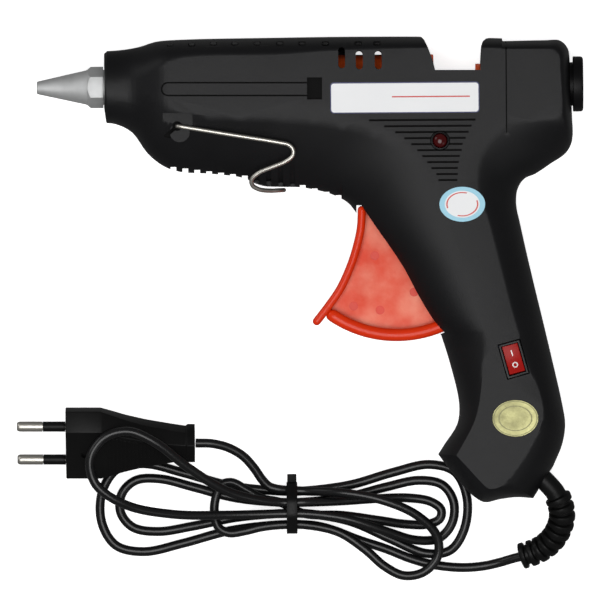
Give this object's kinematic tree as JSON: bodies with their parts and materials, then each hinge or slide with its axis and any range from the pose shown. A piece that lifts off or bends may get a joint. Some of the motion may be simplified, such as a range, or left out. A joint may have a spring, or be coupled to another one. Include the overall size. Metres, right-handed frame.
{
  "type": "glue gun",
  "caption": "Trigger-fed hot glue applicator with heated nozzle, wire stand, rocker switch and hanked mains cord.",
  "frame": {"origin": "middle of the footprint without the free cord, on the surface the tool lies on", "axes": "+X from the nozzle towards the rear inlet, along the glue stick; +Y from the trigger up to the top of the barrel; +Z out of the left side, away from the surface"},
  "size_m": [0.2225, 0.2118, 0.0391],
  "materials": {
    "body_black": "fine satin texture",
    "fastener_steel": "bright",
    "nozzle_metal": "satin",
    "silicone": "matte",
    "ceramic": "matte",
    "trigger_orange": "satin",
    "carriage_orange": "satin",
    "bright_wire": "bright",
    "switch_black": "satin",
    "switch_red": "gloss",
    "lens_red": "clear deep red",
    "label_white": "satin",
    "badge_blue": "satin",
    "seal_gold": "foil",
    "cord_black": "satin",
    "lead_red": "satin",
    "lead_blue": "satin"
  },
  "bodies": {
    "housing": {"housing_left": "body_black", "housing_right": "body_black", "housing_screw_1": "fastener_steel", "housing_screw_2": "fastener_steel", "housing_screw_3": "fastener_steel", "housing_screw_4": "fastener_steel", "housing_screw_5": "fastener_steel", "housing_screw_6": "fastener_steel", "housing_screw_7": "fastener_steel", "housing_screw_8": "fastener_steel", "nozzle": "nozzle_metal", "heating_chamber": "nozzle_metal", "front_support_ring": "silicone", "heater_plate": "ceramic", "heater_clip": "fastener_steel", "inlet_sleeve": "silicone", "sleeve_clip_ring": "fastener_steel", "return_spring": "fastener_steel", "trigger_pivot_pin": "fastener_steel", "rear_guide_ring": "body_black", "switch_body": "switch_black", "switch_terminal_1": "bright_wire", "switch_terminal_2": "bright_wire", "indicator_bezel": "switch_black", "indicator_lens": "lens_red", "indicator_body": "label_white", "label_plate": "label_white", "power_badge": "badge_blue", "check_seal": "seal_gold", "strain_relief": "cord_black", "cord_tail": "cord_black", "cord_hank": "cord_black", "cord_plug_lead": "cord_black", "cord_tie": "cord_black", "plug_body": "cord_black", "plug_pin_1": "bright_wire", "plug_pin_sleeve_1": "cord_black", "plug_pin_2": "bright_wire", "plug_pin_sleeve_2": "cord_black", "cord_inner_end": "cord_black", "cord_clamp": "switch_black", "clamp_screw_1": "fastener_steel", "clamp_screw_2": "fastener_steel", "live_lead": "lead_red", "switched_lead": "lead_red", "neutral_lead": "lead_blue"},
    "trigger": {"trigger": "trigger_orange"},
    "feed": {"feed_carriage": "carriage_orange", "drive_pin": "fastener_steel", "gripper_pin": "fastener_steel"},
    "pawl": {"gripper_pawl": "fastener_steel"},
    "rocker": {"switch_rocker": "switch_red"},
    "stand": {"wire_stand": "bright_wire"}
  },
  "joints": [
    {"name": "trigger_pull", "type": "hinge", "parent": "housing", "child": "trigger", "pos_m": [0.03286, 0.03226, 0.0185], "axis": [0, 0, 1], "range_deg": [0, 23], "stiffness_Nm_per_rad": 0.9, "springref_deg": -14.32},
    {"name": "feed_slide", "type": "slide", "parent": "housing", "child": "feed", "axis": [-1, 0, 0], "range_m": [0, 0.01563], "deforming": ["return_spring"]},
    {"name": "pawl_grip", "type": "hinge", "parent": "feed", "child": "pawl", "pos_m": [0.02866, 0.07262, 0.0185], "axis": [0, 0, 1], "range_deg": [0, 7.05]},
    {"name": "power_rocker", "type": "hinge", "parent": "housing", "child": "rocker", "pos_m": [0.07798, -0.02202, 0.0349], "axis": [0.9641, 0.2656, 0], "range_deg": [0, 16]},
    {"name": "stand_fold", "type": "hinge", "parent": "housing", "child": "stand", "pos_m": [-0.05222, 0.06964, 0.0185], "axis": [0, 0, 1], "range_deg": [-105, 0]}
  ],
  "couplings": [
    {"joint": "feed_slide", "follows": "trigger_pull", "m_per_rad": 0.038898},
    {"joint": "pawl_grip", "follows": "trigger_pull", "ratio": 0.30435}
  ]
}
